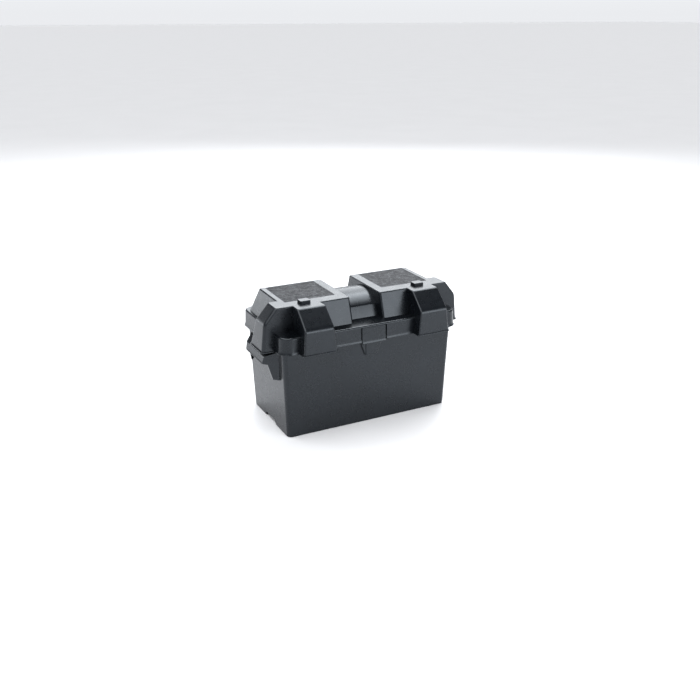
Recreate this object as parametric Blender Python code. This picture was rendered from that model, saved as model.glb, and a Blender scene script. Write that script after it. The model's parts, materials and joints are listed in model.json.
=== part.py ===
"""Snap-top battery box with the six-cell deep cycle battery that it holds.

Metres, +Z up. The origin is on the ground under the centre of the case: +X runs along the box,
the cable hoods and the front snap tab face -Y. The box mirrors left to right.
"""
import math

import bmesh
import bpy
from mathutils import Matrix, Vector

MM = 0.001
GAP = 0.3 * MM                     # space left between pieces that touch on the real object
SAME_POINT = 0.002 * MM            # points closer than this are one point

# ---- case: a tapered tub -------------------------------------------------------------------
CASE_HALF_LENGTH = 176.5 * MM      # at the ground
CASE_HALF_WIDTH = 90.0 * MM        # at the ground
CASE_END_DRAFT = 0.039             # outward lean of the end walls, per unit of height
CASE_SIDE_DRAFT = 0.017
CASE_CORNER = 9.5 * MM
CASE_WALL = 2.8 * MM
FLOOR_THICKNESS = 3.0 * MM
RIM_BEAD_LOW = 178.0 * MM
RIM_BEAD_HIGH = 181.0 * MM
RIM_BEAD_OUT = 2.8 * MM
NOTCH_HALF_WIDTH = 28.0 * MM       # arched notch between the two feet of each end
NOTCH_HEIGHT = 9.0 * MM
NOTCH_DEPTH = 13.0 * MM
HANDLE_OUT = 207.5 * MM
HANDLE_HALF_WIDTH = 42.0 * MM      # at the grip; the cheeks spread at 45 degrees towards the wall
HANDLE_ROOT_HALF_WIDTH = 68.0 * MM
HANDLE_TOP = 169.0 * MM
HANDLE_SHOULDER = 159.0 * MM       # height where the sloping top turns down into the grip
GRIP_LOW = 143.0 * MM
CHEEK_LOW = 114.0 * MM
HANDLE_WALL = 3.4 * MM
PAD_HALF_WIDTH = 13.0 * MM         # pad on the wall under each snap tab
PAD_LOW_FLANK = 1.5 * MM           # how far its lower flanks spread, at the foot and at the top
PAD_HIGH_FLANK = 10.0 * MM
PAD_LOW = 144.5 * MM
PAD_HIGH = 169.5 * MM
PAD_OUT = 97.8 * MM
CATCH_HALF_WIDTH = 19.0 * MM       # ledge that the tab's bead springs past
CATCH_LOW = 177.0 * MM
CATCH_HIGH = 180.0 * MM
CATCH_OUT = 101.6 * MM

# ---- lid -----------------------------------------------------------------------------------
LID_WALL = 2.6 * MM
SKIRT_LOW = 176.0 * MM
LEDGE_HEIGHT = 209.0 * MM
LID_TOP = 257.0 * MM
LIP_OUT = 2.0 * MM                 # small rib around the foot of the skirt and of each hood
LIP_HEIGHT = 2.4 * MM
SKIRT_HALF_LENGTH = 189.0 * MM     # at the ledge
SKIRT_HALF_WIDTH = 104.8 * MM      # at the ledge
SKIRT_DRAFT = 0.03
SKIRT_CORNER = 22.0 * MM
BLOCK_INNER = 32.0 * MM            # inner wall of each raised block, and half the barrel's length
BLOCK_OUTER = 166.0 * MM           # at the top
BLOCK_HALF_WIDTH = 66.0 * MM       # at the top
BLOCK_SLOPE = 1.0 / 3.0            # outward lean of the block's other walls
BLOCK_CORNER = 5.0 * MM
RECESS_INNER = 149.0 * MM          # the front outer corner of each block is cut away past here
BARREL_RADIUS = 80.0 * MM
BARREL_CREST = 252.0 * MM
BARREL_CREASE = 54.5 * MM          # half the width of the round top
BARREL_FOOT = 62.0 * MM            # half the width at the ledge
HOOD_TOP = 256.7 * MM
HOOD_LOW = 177.0 * MM
HOOD_BEND = 225.0 * MM
HOOD_INNER = (87.5 * MM, 92.5 * MM, 93.5 * MM)     # x at the skirt's edge, at the bend, at the top
HOOD_OUTER = (155.5 * MM, 151.5 * MM, 151.0 * MM)
HOOD_FRONT = (129.0 * MM, 124.0 * MM, 87.5 * MM)
HOOD_CORNER = 3.0 * MM
END_HOOD_TOP = 256.4 * MM
END_HOOD_LOW = 173.0 * MM
END_HOOD_BEND = 228.0 * MM
END_HOOD_OUT = (216.0 * MM, 208.5 * MM, 185.0 * MM)
END_HOOD_FRONT = 66.6 * MM
END_HOOD_BACK = (3.0 * MM, 21.0 * MM, 24.0 * MM)
END_HOOD_CORNER = 6.5 * MM
BOSS_X = (112.5 * MM, 133.5 * MM)
BOSS_Y = (-63.5 * MM, -47.0 * MM)
BOSS_HEIGHT = 5.5 * MM
LABEL_X = (51.0 * MM, 155.0 * MM)
LABEL_Y = (-40.0 * MM, 60.0 * MM)
LABEL_RECESS = 0.9 * MM
LABEL_THICKNESS = 0.6 * MM
TAB_HALF_WIDTH = 25.5 * MM
TAB_SLIT = 1.6 * MM
TAB_TOP = 205.0 * MM
TAB_LOW = 172.8 * MM
TAB_BEAD_DEPTH = 1.0 * MM
TAB_BEAD_HEIGHT = 3.0 * MM

# ---- battery -------------------------------------------------------------------------------
CELLS = 6
CELL_PITCH = 50.0 * MM
CELL_HALF_LENGTH = 23.4 * MM
CELL_HALF_WIDTH = 81.5 * MM
BATTERY_HALF_LENGTH = 153.0 * MM
BATTERY_HALF_WIDTH = 86.0 * MM
BATTERY_DRAFT = 1.8 * MM           # how much smaller the foot is on each side
BATTERY_FOOT = FLOOR_THICKNESS + GAP
CONTAINER_FLOOR = 3.5 * MM
CONTAINER_TOP = 190.0 * MM
COVER_TOP = 204.0 * MM
BATTERY_CORNER = 4.0 * MM
NEGATIVE_PLATES = 5
NEGATIVE_THICKNESS = 2.8 * MM
POSITIVE_THICKNESS = 3.4 * MM
SEPARATOR_THICKNESS = 1.1 * MM
PLATE_GAP = SEPARATOR_THICKNESS + 2 * GAP
PLATE_HALF_WIDTH = 78.0 * MM
PLATE_LOW = 9.0 * MM
PLATE_HIGH = 158.0 * MM
STRAP_LOW = 166.0 * MM
STRAP_HIGH = 175.0 * MM
STRAP_HALF_LENGTH = 21.2 * MM
STRAP_HALF_WIDTH = 13.0 * MM
LUG_HALF_WIDTH = 10.0 * MM
TERMINAL_Y = 56.0 * MM             # distance of the straps and the terminals from the middle
CONNECTOR_HALF_WIDTH = 8.0 * MM
CONNECTOR_HEIGHT = 7.0 * MM
TERMINAL_THICKNESS = 4.0 * MM
TERMINAL_HALF_WIDTH = 13.0 * MM
STEM_RADIUS = 7.0 * MM
POST_HEIGHT = 18.0 * MM
POSITIVE_POST_RADIUS = 9.7 * MM
NEGATIVE_POST_RADIUS = 8.9 * MM
POST_TAPER = 1.0 * MM
STUD_SPACING = 28.0 * MM
STUD_RADIUS = 4.7 * MM
STUD_HEIGHT = 19.0 * MM
WASHER_RADIUS = 10.0 * MM
WASHER_THICKNESS = 1.6 * MM
NUT_RADIUS = 8.0 * MM
NUT_HEIGHT = 8.0 * MM
WING_SPAN = 32.0 * MM
WING_RISE = 7.0 * MM
WING_THICKNESS = 3.0 * MM
CAP_HALF_WIDTH = 22.0 * MM
CAP_HEIGHT = 9.7 * MM
CAP_END = 15.0 * MM                # cap past its outer vent holes
VENT_RADIUS = 12.0 * MM
PLUG_CLEARANCE = 0.6 * MM
PLUG_DEPTH = 15.0 * MM

SIDES = {"left": -1, "right": 1}

for leftover in list(bpy.data.objects):
    bpy.data.objects.remove(leftover)
parts = bpy.data.collections.new("snap_top_battery_box")
cutters = bpy.data.collections.new("cutters")
bpy.context.scene.collection.children.link(parts)
bpy.context.scene.collection.children.link(cutters)


# ---- tools ---------------------------------------------------------------------------------
def material(name, colour, roughness, metallic=0.0):
    """One Principled material."""
    made = bpy.data.materials.new(name)
    made.use_nodes = True
    shader = made.node_tree.nodes["Principled BSDF"]
    shader.inputs["Base Color"].default_value = (*colour, 1.0)
    shader.inputs["Roughness"].default_value = roughness
    shader.inputs["Metallic"].default_value = metallic
    return made


def finish(shape, name, look):
    """Give a built shape its part name, its material and smooth rounds."""
    shape.name = name
    shape.data.name = name
    shape.data.materials.clear()
    shape.data.materials.append(look)
    shape.data.shade_smooth()
    shape.data.set_sharp_from_angle(angle=math.radians(30))
    return shape


def to_object(mesh, name):
    """Turn an edit mesh into an object in the parts collection."""
    bmesh.ops.recalc_face_normals(mesh, faces=mesh.faces)
    data = bpy.data.meshes.new(name)
    mesh.to_mesh(data)
    mesh.free()
    shape = bpy.data.objects.new(name, data)
    parts.objects.link(shape)
    return shape


def level(z, half_x, half_y):
    """A centred rectangle at height z, as (z, x_low, x_high, y_low, y_high)."""
    return (z, -half_x, half_x, -half_y, half_y)


def stacked_box(name, levels, corner=0.0, steps=3):
    """A box that passes through one rectangle per level, with its upright edges rounded."""
    mesh = bmesh.new()
    bmesh.ops.create_cube(mesh, size=1.0)
    rings = len(levels) - 1
    for ring in range(1, rings):
        everything = mesh.verts[:] + mesh.edges[:] + mesh.faces[:]
        bmesh.ops.bisect_plane(mesh, geom=everything, plane_co=(0, 0, ring / rings - 0.5),
                               plane_no=(0, 0, 1))
    upright = [edge for edge in mesh.edges if abs(edge.verts[0].co.z - edge.verts[1].co.z) > 1e-6]
    for vert in mesh.verts:
        z, x_low, x_high, y_low, y_high = levels[round((vert.co.z + 0.5) * rings)]
        vert.co = (x_high if vert.co.x > 0 else x_low, y_high if vert.co.y > 0 else y_low, z)
    if corner:
        bmesh.ops.bevel(mesh, geom=upright, offset=corner, segments=steps, profile=0.5,
                        affect='EDGES', clamp_overlap=True)
    bmesh.ops.triangulate(mesh, faces=[face for face in mesh.faces if len(face.verts) == 4])
    return to_object(mesh, name)


def box(name, x, y, z, corner=0.0):
    """A plain box from its low and high x, y and z."""
    x_low, x_high = sorted(x)
    y_low, y_high = sorted(y)
    return stacked_box(name, [(z[0], x_low, x_high, y_low, y_high), (z[1], x_low, x_high, y_low, y_high)],
                       corner)


def cylinder(name, x, y, z_low, z_high, radius, top_radius=None, sides=24):
    """An upright cylinder or cone."""
    mesh = bmesh.new()
    bmesh.ops.create_cone(mesh, cap_ends=True, segments=sides, radius1=radius,
                          radius2=radius if top_radius is None else top_radius, depth=z_high - z_low)
    bmesh.ops.translate(mesh, verts=mesh.verts, vec=(x, y, (z_low + z_high) / 2))
    return to_object(mesh, name)


def plate(name, outline, low, high, upright_axis):
    """A flat outline given thickness: an (x, y) outline along Z, (x, z) along Y or (y, z) along X."""
    curve = bpy.data.curves.new(name, 'CURVE')
    curve.dimensions = '2D'
    curve.fill_mode = 'BOTH'
    curve.extrude = (high - low) / 2
    line = curve.splines.new('POLY')
    line.points.add(len(outline) - 1)
    for point, (across, along) in zip(line.points, outline):
        point.co = (across, along, 0.0, 1.0)
    line.use_cyclic_u = True
    flat = bpy.data.objects.new(name, curve)
    parts.objects.link(flat)
    middle = (low + high) / 2
    if upright_axis == 'Y':
        flat.rotation_euler = (math.pi / 2, 0, 0)
        flat.location = (0, middle, 0)
    elif upright_axis == 'X':
        flat.rotation_euler = (math.pi / 2, 0, math.pi / 2)
        flat.location = (middle, 0, 0)
    else:
        flat.location = (0, 0, middle)
    bpy.context.view_layer.update()
    solid = bmesh.new()
    evaluated = flat.evaluated_get(bpy.context.evaluated_depsgraph_get())
    solid.from_mesh(bpy.data.meshes.new_from_object(evaluated))
    bmesh.ops.transform(solid, matrix=flat.matrix_world, verts=solid.verts)
    bmesh.ops.remove_doubles(solid, verts=solid.verts, dist=SAME_POINT)
    bmesh.ops.dissolve_limit(solid, angle_limit=math.radians(0.5), verts=solid.verts, edges=solid.edges)
    bpy.data.objects.remove(flat)
    return to_object(solid, name)


def combine(target, tools, operation):
    """Boolean each tool into the target and apply it; the tools are used up."""
    for tool in tools:
        modifier = target.modifiers.new(tool.name, 'BOOLEAN')
        modifier.operation = operation
        modifier.solver = 'EXACT'
        modifier.object = tool
        bpy.context.view_layer.update()
        evaluated = target.evaluated_get(bpy.context.evaluated_depsgraph_get())
        result = bpy.data.meshes.new_from_object(evaluated)
        target.modifiers.clear()
        target.data = result
        tidy = bmesh.new()
        tidy.from_mesh(result)
        bmesh.ops.remove_doubles(tidy, verts=tidy.verts, dist=SAME_POINT)
        bmesh.ops.dissolve_degenerate(tidy, edges=tidy.edges, dist=SAME_POINT)
        tidy.to_mesh(result)
        tidy.free()
        bpy.data.objects.remove(tool)
    return target


def union(target, tools):
    return combine(target, tools, 'UNION')


def cut(target, tools):
    return combine(target, tools, 'DIFFERENCE')


def rounded(shape, width, steps=2, angle=40):
    """Round the sharp edges of a simple shape."""
    mesh = bmesh.new()
    mesh.from_mesh(shape.data)
    sharp = [edge for edge in mesh.edges if edge.calc_face_angle(0) > math.radians(angle)]
    bmesh.ops.bevel(mesh, geom=sharp, offset=width, segments=steps, profile=0.5, affect='EDGES',
                    clamp_overlap=True)
    mesh.to_mesh(shape.data)
    mesh.free()
    return shape


# ---- materials -----------------------------------------------------------------------------
black_plastic = material("black_polypropylene", (0.028, 0.030, 0.033), 0.42)
label_plastic = material("grained_label_plastic", (0.045, 0.047, 0.052), 0.6)
container_plastic = material("battery_container_plastic", (0.02, 0.02, 0.022), 0.5)
cover_plastic = material("battery_cover_plastic", (0.035, 0.035, 0.037), 0.5)
cap_plastic = material("vent_cap_plastic", (0.55, 0.06, 0.04), 0.45)
lead = material("cast_lead", (0.33, 0.34, 0.36), 0.55, 0.9)
positive_paste = material("positive_plate_paste", (0.16, 0.07, 0.04), 0.8)
negative_paste = material("negative_plate_paste", (0.28, 0.29, 0.30), 0.7)
separator_plastic = material("separator_polyethylene", (0.72, 0.72, 0.68), 0.6)
steel = material("stainless_steel", (0.62, 0.62, 0.63), 0.3, 1.0)


# ---- case ----------------------------------------------------------------------------------
def case_level(z, inset=0.0):
    """The case's outline at height z, drawn in by inset."""
    return level(z, CASE_HALF_LENGTH + CASE_END_DRAFT * z - inset,
                 CASE_HALF_WIDTH + CASE_SIDE_DRAFT * z - inset)


def case_half_length(z):
    return CASE_HALF_LENGTH + CASE_END_DRAFT * z


def handle_solid(name, side, inset):
    """The handle's form: its outline seen from above, trimmed by its outline seen from the front."""
    inside = CASE_HALF_LENGTH - CASE_WALL
    wall = case_half_length(GRIP_LOW)
    out = HANDLE_OUT - inset
    root_half = HANDLE_ROOT_HALF_WIDTH - inset * math.sqrt(2)
    grip_half = HANDLE_HALF_WIDTH - inset * 0.6
    half_plan = [(inside, root_half), (wall, root_half), (out, grip_half)]
    plan = [(side * x, y) for x, y in half_plan] + [(side * x, -y) for x, y in reversed(half_plan)]
    profile = [(inside, HANDLE_TOP - inset), (out - 17 * MM, HANDLE_TOP - inset),
               (out - 5 * MM, HANDLE_SHOULDER - inset / 2)]
    if inset:
        far_down = CHEEK_LOW - 10 * MM
        profile += [(out, far_down), (inside, far_down)]
    else:
        profile += [(out, GRIP_LOW), (out - 9 * MM, GRIP_LOW), (out - 16 * MM, CHEEK_LOW),
                    (inside, CHEEK_LOW)]
    body = plate(name, plan, CHEEK_LOW - 8 * MM, HANDLE_TOP + 5 * MM, 'Z')
    trim = plate("trim", [(side * x, z) for x, z in profile], -100 * MM, 100 * MM, 'Y')
    return combine(body, [trim], 'INTERSECT')


def end_handle(side):
    """A down-turned grip on the end wall, carried by two spreading cheeks and open underneath."""
    return cut(handle_solid("grip", side, 0.0), [handle_solid("pocket", side, HANDLE_WALL)])


def catch(front):
    """Under each snap tab: a pad with spreading flanks, and the ledge for the tab's bead."""
    wall = CASE_HALF_WIDTH
    pad = box("pad", (-PAD_HALF_WIDTH, PAD_HALF_WIDTH), (front * wall, front * PAD_OUT),
              (PAD_LOW, PAD_HIGH))
    flank_levels = []
    for z, spread in ((PAD_LOW + 1 * MM, PAD_LOW_FLANK), (PAD_HIGH - 1 * MM, PAD_HIGH_FLANK)):
        half = PAD_HALF_WIDTH + spread
        y_low, y_high = sorted((front * wall, front * (PAD_OUT - 2.5 * MM)))
        flank_levels.append((z, -half, half, y_low, y_high))
    ledge = box("ledge", (-CATCH_HALF_WIDTH, CATCH_HALF_WIDTH), (front * wall, front * CATCH_OUT),
                (CATCH_LOW, CATCH_HIGH))
    return [pad, stacked_box("flanks", flank_levels), ledge]


def make_case():
    lid_underside = LEDGE_HEIGHT - LID_WALL
    top = lid_underside - GAP
    shell = stacked_box("shell", [case_level(0), case_level(top)], CASE_CORNER, 4)
    bead_levels = [case_level(z, -RIM_BEAD_OUT) for z in (RIM_BEAD_LOW, RIM_BEAD_HIGH)]
    bead = stacked_box("bead", bead_levels, CASE_CORNER + RIM_BEAD_OUT, 4)
    union(shell, [bead] + [end_handle(side) for side in SIDES.values()] + catch(-1) + catch(1))
    hollow_levels = [case_level(z, CASE_WALL) for z in (FLOOR_THICKNESS, top + 5 * MM)]
    hollow = stacked_box("hollow", hollow_levels, CASE_CORNER - CASE_WALL, 4)
    humps = []
    notches = []
    for side in SIDES.values():
        inner_end = CASE_HALF_LENGTH - NOTCH_DEPTH
        far_out = CASE_HALF_LENGTH + 20 * MM
        wide = NOTCH_HALF_WIDTH + CASE_WALL
        humps.append(box("hump", (side * (inner_end - CASE_WALL), side * far_out), (-wide, wide),
                         (-5 * MM, NOTCH_HEIGHT + CASE_WALL)))
        arch = [(-NOTCH_HALF_WIDTH, -5 * MM), (NOTCH_HALF_WIDTH, -5 * MM), (NOTCH_HALF_WIDTH, 0.0),
                (NOTCH_HALF_WIDTH - 6 * MM, NOTCH_HEIGHT), (-NOTCH_HALF_WIDTH + 6 * MM, NOTCH_HEIGHT),
                (-NOTCH_HALF_WIDTH, 0.0)]
        ends = sorted((side * inner_end, side * far_out))
        notches.append(plate("notch", arch, ends[0], ends[1], 'X'))
    cut(hollow, humps)
    cut(shell, [hollow] + notches)
    return finish(shell, "case_shell", black_plastic)


# ---- lid -----------------------------------------------------------------------------------
def skirt_half_length(z):
    return SKIRT_HALF_LENGTH + SKIRT_DRAFT * (LEDGE_HEIGHT - z)


def skirt_half_width(z):
    return SKIRT_HALF_WIDTH + SKIRT_DRAFT * (LEDGE_HEIGHT - z)


def skirt(inset):
    """The band around the lid's foot, closed by the flat ledge on top."""
    low = SKIRT_LOW - (10 * MM if inset else 0.0)
    high = LEDGE_HEIGHT - inset
    levels = [level(z, skirt_half_length(z) - inset, skirt_half_width(z) - inset) for z in (low, high)]
    band = stacked_box("skirt", levels, SKIRT_CORNER - inset, 5)
    if inset == 0.0:
        lip = [level(z, skirt_half_length(low) + LIP_OUT, skirt_half_width(low) + LIP_OUT)
               for z in (low, low + LIP_HEIGHT)]
        union(band, [stacked_box("lip", lip, SKIRT_CORNER + LIP_OUT, 5)])
    return band


def raised_block(side, inset):
    """One of the two blocks that stand on the ledge: upright inner wall, other walls leaning out."""
    levels = []
    for z in (LEDGE_HEIGHT - 9 * MM, LID_TOP - inset):
        lean = BLOCK_SLOPE * (LID_TOP - z) - inset
        x_low, x_high = sorted((side * (BLOCK_INNER + inset), side * (BLOCK_OUTER + lean)))
        levels.append((z, x_low, x_high, -BLOCK_HALF_WIDTH - lean, BLOCK_HALF_WIDTH + lean))
    block = stacked_box("block", levels, BLOCK_CORNER - inset / 2, 3)
    recess = box("recess", (side * (RECESS_INNER - inset), side * 220 * MM),
                 (-120 * MM, -BLOCK_HALF_WIDTH + inset), (190 * MM, 270 * MM))
    return cut(block, [recess])


def barrel(inset):
    """The half-round bridge between the blocks."""
    radius = BARREL_RADIUS - inset
    centre = BARREL_CREST - BARREL_RADIUS
    half_angle = math.asin((BARREL_CREASE - inset) / radius)
    steps = 10
    outline = []
    for step in range(steps + 1):
        angle = half_angle * (1 - 2 * step / steps)
        outline.append((radius * math.sin(angle), centre + radius * math.cos(angle)))
    foot = BARREL_FOOT - inset
    low = LEDGE_HEIGHT - 9 * MM
    outline += [(-foot, LEDGE_HEIGHT), (-foot, low), (foot, low), (foot, LEDGE_HEIGHT)]
    reach = BLOCK_INNER + (4 * MM if inset else 2 * MM)
    return plate("barrel", outline, -reach, reach, 'X')


def front_hood(side, inset):
    """A cable hood in front of each block: sloping roof, upright front, open underneath."""
    heights = (HOOD_LOW - (12 * MM if inset else 0.0), HOOD_BEND - inset / 2, HOOD_TOP - inset)
    levels = []
    for z, inner, outer, front in zip(heights, HOOD_INNER, HOOD_OUTER, HOOD_FRONT):
        x_low, x_high = sorted((side * (inner + inset), side * (outer - inset)))
        levels.append((z, x_low, x_high, -(front - inset), -BLOCK_HALF_WIDTH + 8 * MM))
    return stacked_box("hood", levels, HOOD_CORNER - inset / 2, 2)


def end_hood(side, inset):
    """The hood on each end, near the front corner, open underneath."""
    heights = (END_HOOD_LOW - (10 * MM if inset else 0.0), END_HOOD_BEND - inset / 2, END_HOOD_TOP - inset)
    levels = []
    for z, out, back in zip(heights, END_HOOD_OUT, END_HOOD_BACK):
        x_low, x_high = sorted((side * (BLOCK_OUTER - 20 * MM), side * (out - inset)))
        levels.append((z, x_low, x_high, -(END_HOOD_FRONT - inset), -(back + inset)))
    return stacked_box("end_hood", levels, END_HOOD_CORNER - inset, 3)


def lid_volume(inset):
    """The lid's whole form as one solid, drawn in by inset."""
    pieces = [barrel(inset)]
    for side in SIDES.values():
        pieces += [raised_block(side, inset), front_hood(side, inset), end_hood(side, inset)]
    return union(skirt(inset), pieces)


def boss(side):
    """A low raised pad near the front edge of a block."""
    return box("boss", (side * BOSS_X[0], side * BOSS_X[1]), BOSS_Y,
               (LID_TOP - 1.5 * MM, LID_TOP + BOSS_HEIGHT), 2 * MM)


def make_lid():
    lid = lid_volume(0.0)
    cut(lid, [lid_volume(LID_WALL)])
    slot = TAB_HALF_WIDTH + TAB_SLIT
    recess_floor = LID_TOP - LABEL_RECESS
    openings = []
    bosses = []
    for side in SIDES.values():
        openings.append(box("recess", (side * LABEL_X[0], side * LABEL_X[1]), LABEL_Y,
                            (recess_floor, LID_TOP + 5 * MM), 3 * MM))
        bosses.append(boss(side))
    for front in (-1, 1):
        depth = (front * (SKIRT_HALF_WIDTH - 5 * MM), front * (SKIRT_HALF_WIDTH + 7 * MM))
        openings.append(box("tab_slot", (-slot, slot), depth, (SKIRT_LOW - 8 * MM, TAB_TOP + 0.5 * MM)))
    cut(lid, openings)
    union(lid, bosses)
    return finish(lid, "lid_shell", black_plastic)


def make_snap_tab(name, front):
    """A springy tongue of the skirt with a bead inside its free end; its top edge is the hinge line."""
    levels = []
    for z in (TAB_LOW, TAB_TOP):
        outer = skirt_half_width(z)
        y_low, y_high = sorted((front * outer, front * (outer - LID_WALL)))
        levels.append((z, -TAB_HALF_WIDTH, TAB_HALF_WIDTH, y_low, y_high))
    tab = stacked_box(name, levels)
    inner = skirt_half_width(TAB_LOW) - LID_WALL
    bead = box("bead", (-TAB_HALF_WIDTH + 6 * MM, TAB_HALF_WIDTH - 6 * MM),
               (front * (inner + 1 * MM), front * (inner - TAB_BEAD_DEPTH)),
               (TAB_LOW, TAB_LOW + TAB_BEAD_HEIGHT))
    union(tab, [bead])
    return finish(tab, name, black_plastic)


def make_label_plate(name, side):
    """The grained plate that lies in the recess on top of a block."""
    low = LID_TOP - LABEL_RECESS + GAP
    label = box(name, (side * (LABEL_X[0] + GAP), side * (LABEL_X[1] - GAP)),
                (LABEL_Y[0] + GAP, LABEL_Y[1] - GAP), (low, low + LABEL_THICKNESS), 3 * MM)
    return finish(label, name, label_plastic)


# ---- battery -------------------------------------------------------------------------------
def cell_x(cell):
    """Middle of a cell, counted from the left."""
    return (cell - (CELLS - 1) / 2) * CELL_PITCH


def link_side(cell):
    """The side, -1 front or +1 rear, on which a cell's positive strap joins the next cell."""
    return 1 if cell % 2 == 0 else -1


def make_container():
    foot = level(BATTERY_FOOT, BATTERY_HALF_LENGTH - BATTERY_DRAFT, BATTERY_HALF_WIDTH - BATTERY_DRAFT)
    top = level(CONTAINER_TOP, BATTERY_HALF_LENGTH, BATTERY_HALF_WIDTH)
    container = stacked_box("container", [foot, top], BATTERY_CORNER)
    wells = []
    for cell in range(CELLS):
        x = cell_x(cell)
        wells.append(box("well", (x - CELL_HALF_LENGTH, x + CELL_HALF_LENGTH),
                         (-CELL_HALF_WIDTH, CELL_HALF_WIDTH),
                         (BATTERY_FOOT + CONTAINER_FLOOR, CONTAINER_TOP + 5 * MM)))
    for cell in range(CELLS - 1):
        x = cell_x(cell) + CELL_PITCH / 2
        y = link_side(cell) * TERMINAL_Y
        reach = CONNECTOR_HALF_WIDTH + 0.5 * MM
        wells.append(box("gate", (x - 4 * MM, x + 4 * MM), (y - reach, y + reach),
                         (STRAP_LOW - 1 * MM, CONTAINER_TOP + 5 * MM)))
    cut(container, wells)
    return finish(container, "battery_container", container_plastic)


def make_cover():
    low = CONTAINER_TOP + GAP
    cover = box("cover", (-BATTERY_HALF_LENGTH, BATTERY_HALF_LENGTH),
                (-BATTERY_HALF_WIDTH, BATTERY_HALF_WIDTH), (low, COVER_TOP), BATTERY_CORNER)
    holes = [cylinder("vent", cell_x(cell), 0, low - 5 * MM, COVER_TOP + 5 * MM, VENT_RADIUS)
             for cell in range(CELLS)]
    holes += [cylinder("bushing", side * abs(cell_x(0)), -TERMINAL_Y, low - 5 * MM, COVER_TOP + 5 * MM,
                       STEM_RADIUS + 0.5 * MM) for side in SIDES.values()]
    cut(cover, holes)
    return finish(cover, "battery_cover", cover_plastic)


def make_vent_cap(name, side):
    """A gang cap with three plugs that push into the vent holes of one half of the cover."""
    outer = abs(cell_x(0)) + CAP_END
    inner = CELL_PITCH / 2 - CAP_END
    low = COVER_TOP + GAP
    cap = rounded(box(name, (side * inner, side * outer), (-CAP_HALF_WIDTH, CAP_HALF_WIDTH),
                      (low, low + CAP_HEIGHT), 5 * MM), 1.5 * MM)
    plugs = [cylinder("plug", side * CELL_PITCH * (number + 0.5), 0, low - PLUG_DEPTH, low + 2 * MM,
                      VENT_RADIUS - PLUG_CLEARANCE - 1 * MM, VENT_RADIUS - PLUG_CLEARANCE)
             for number in range(CELLS // 2)]
    union(cap, plugs)
    return finish(cap, name, cap_plastic)


def make_terminal(name, side, radius):
    """A cast pad with the tapered post, the stem down to the plates and the stud's socket."""
    x = side * abs(cell_x(0))
    stud_x = x - side * STUD_SPACING
    low = COVER_TOP + GAP
    top = low + TERMINAL_THICKNESS
    pad = box(name, (x + side * 13 * MM, stud_x - side * 11 * MM),
              (-TERMINAL_Y - TERMINAL_HALF_WIDTH, -TERMINAL_Y + TERMINAL_HALF_WIDTH), (low, top), 6 * MM)
    rounded(pad, 0.8 * MM)
    post = cylinder("post", x, -TERMINAL_Y, low + 1 * MM, top + POST_HEIGHT, radius,
                    radius - POST_TAPER, 32)
    stem = cylinder("stem", x, -TERMINAL_Y, STRAP_HIGH + GAP, low + 1 * MM, STEM_RADIUS)
    union(pad, [post, stem])
    cut(pad, [cylinder("socket", stud_x, -TERMINAL_Y, low + 1 * MM, top + 5 * MM, STUD_RADIUS + GAP)])
    return finish(pad, name, lead)


def make_stud(name, side):
    x = side * (abs(cell_x(0)) - STUD_SPACING)
    low = COVER_TOP + 1 * MM + 2 * GAP
    stud = cylinder(name, x, -TERMINAL_Y, low, low + TERMINAL_THICKNESS + STUD_HEIGHT, STUD_RADIUS)
    return finish(rounded(stud, 0.6 * MM, 1, 60), name, steel)


def make_washer(name, side):
    x = side * (abs(cell_x(0)) - STUD_SPACING)
    low = COVER_TOP + TERMINAL_THICKNESS + 2 * GAP
    washer = cylinder(name, x, -TERMINAL_Y, low, low + WASHER_THICKNESS, WASHER_RADIUS)
    cut(washer, [cylinder("hole", x, -TERMINAL_Y, low - 1 * MM, low + 5 * MM, STUD_RADIUS + GAP)])
    return finish(washer, name, steel)


def make_wing_nut(name, side):
    """A round hub with two rising wings, bored for the stud."""
    x = side * (abs(cell_x(0)) - STUD_SPACING)
    low = COVER_TOP + TERMINAL_THICKNESS + WASHER_THICKNESS + 3 * GAP
    half = WING_SPAN / 2
    tip = low + NUT_HEIGHT + WING_RISE
    outline = [(x - half, tip), (x - half + 7 * MM, tip), (x, low + NUT_HEIGHT - 2 * MM),
               (x + half - 7 * MM, tip), (x + half, tip), (x + half - 3 * MM, low + 3 * MM),
               (x - half + 3 * MM, low + 3 * MM)]
    wings = plate(name, outline, -TERMINAL_Y - WING_THICKNESS / 2, -TERMINAL_Y + WING_THICKNESS / 2, 'Y')
    hub = cylinder("hub", x, -TERMINAL_Y, low, low + NUT_HEIGHT, NUT_RADIUS, NUT_RADIUS - 1.5 * MM)
    union(wings, [hub])
    cut(wings, [cylinder("bore", x, -TERMINAL_Y, low - 1 * MM, low + 30 * MM, STUD_RADIUS + GAP)])
    return finish(wings, name, steel)


def plate_places(cell, polarity):
    """The x of each plate of one polarity; the negative plates are the outer ones."""
    pitch = NEGATIVE_THICKNESS + POSITIVE_THICKNESS + 2 * PLATE_GAP
    count = NEGATIVE_PLATES if polarity == "negative" else NEGATIVE_PLATES - 1
    return [cell_x(cell) + (number - (count - 1) / 2) * pitch for number in range(count)]


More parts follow.
